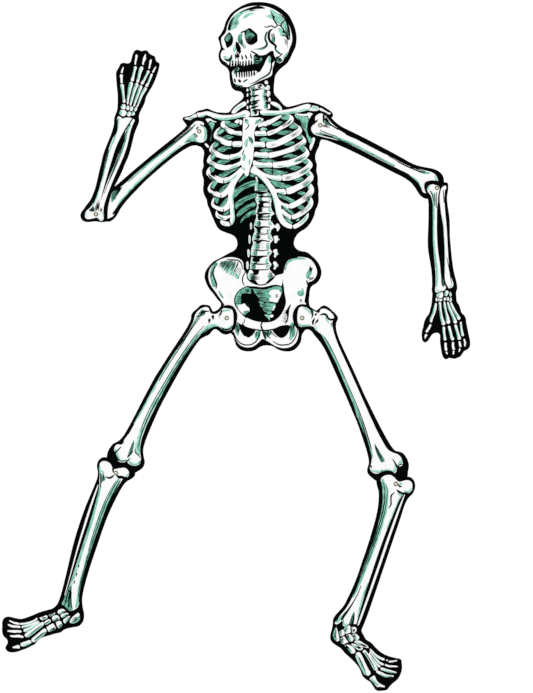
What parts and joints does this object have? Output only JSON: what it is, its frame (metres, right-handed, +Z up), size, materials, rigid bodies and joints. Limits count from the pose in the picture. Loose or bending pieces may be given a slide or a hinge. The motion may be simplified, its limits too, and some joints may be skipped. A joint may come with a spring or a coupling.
{
  "type": "halloween skeleton figure",
  "caption": "Flat die-cut printed cardboard skeleton with limbs pinned by brass eyelets, so that its arms and legs pose against a wall.",
  "frame": {"origin": "on the back of the torso card, midway between the hips and level with the chest, where a pad of tape would hold the figure to a wall", "axes": "+Z up, +Y into the wall behind the figure, +X to the viewer's right, so the printed side faces -Y"},
  "size_m": [0.9367, 0.0048, 1.3781],
  "materials": {
    "printed_card": "matte",
    "bone_white_ink": "matte",
    "mint_ink": "matte",
    "teal_ink": "matte",
    "line_ink": "matte",
    "eyelet_brass": "satin"
  },
  "bodies": {
    "torso": {"torso_card": "printed_card", "right_shoulder_eyelet": "eyelet_brass", "left_shoulder_eyelet": "eyelet_brass", "right_hip_eyelet": "eyelet_brass", "left_hip_eyelet": "eyelet_brass"},
    "right_upper_arm": {"right_upper_arm_card": "printed_card", "right_elbow_eyelet": "eyelet_brass"},
    "left_upper_arm": {"left_upper_arm_card": "printed_card", "left_elbow_eyelet": "eyelet_brass"},
    "right_forearm": {"right_forearm_card": "printed_card"},
    "left_forearm": {"left_forearm_card": "printed_card"},
    "right_thigh": {"right_thigh_card": "printed_card", "right_knee_eyelet": "eyelet_brass"},
    "left_thigh": {"left_thigh_card": "printed_card", "left_knee_eyelet": "eyelet_brass"},
    "right_shin": {"right_shin_card": "printed_card"},
    "left_shin": {"left_shin_card": "printed_card"}
  },
  "joints": [
    {"name": "right_shoulder", "type": "hinge", "parent": "torso", "child": "right_upper_arm", "pos_m": [-0.1305, -0.00105, 0.1185], "axis": [0, 1, 0], "range_deg": [-51.2, 128.8]},
    {"name": "left_shoulder", "type": "hinge", "parent": "torso", "child": "left_upper_arm", "pos_m": [0.1115, -0.00105, 0.1305], "axis": [0, -1, 0], "range_deg": [-61.8, 118.2]},
    {"name": "right_elbow", "type": "hinge", "parent": "right_upper_arm", "child": "right_forearm", "pos_m": [-0.33702, -0.00255, -0.04755], "axis": [0, -1, 0], "range_deg": [-3, 297]},
    {"name": "left_elbow", "type": "hinge", "parent": "left_upper_arm", "child": "left_forearm", "pos_m": [0.34505, -0.00255, 0.00527], "axis": [0, 1, 0], "range_deg": [-209.5, 90.5]},
    {"name": "right_hip", "type": "hinge", "parent": "torso", "child": "right_thigh", "pos_m": [-0.0755, -0.00105, -0.255], "axis": [0, 1, 0], "range_deg": [-35.6, 64.4]},
    {"name": "left_hip", "type": "hinge", "parent": "torso", "child": "left_thigh", "pos_m": [0.0755, -0.00105, -0.255], "axis": [0, -1, 0], "range_deg": [-29.4, 70.6]},
    {"name": "right_knee", "type": "hinge", "parent": "right_thigh", "child": "right_shin", "pos_m": [-0.29729, -0.00255, -0.56479], "axis": [0, -1, 0], "range_deg": [-117.7, 122.3]},
    {"name": "left_knee", "type": "hinge", "parent": "left_thigh", "child": "left_shin", "pos_m": [0.26253, -0.00255, -0.58693], "axis": [0, 1, 0], "range_deg": [-148.1, 91.9]}
  ]
}
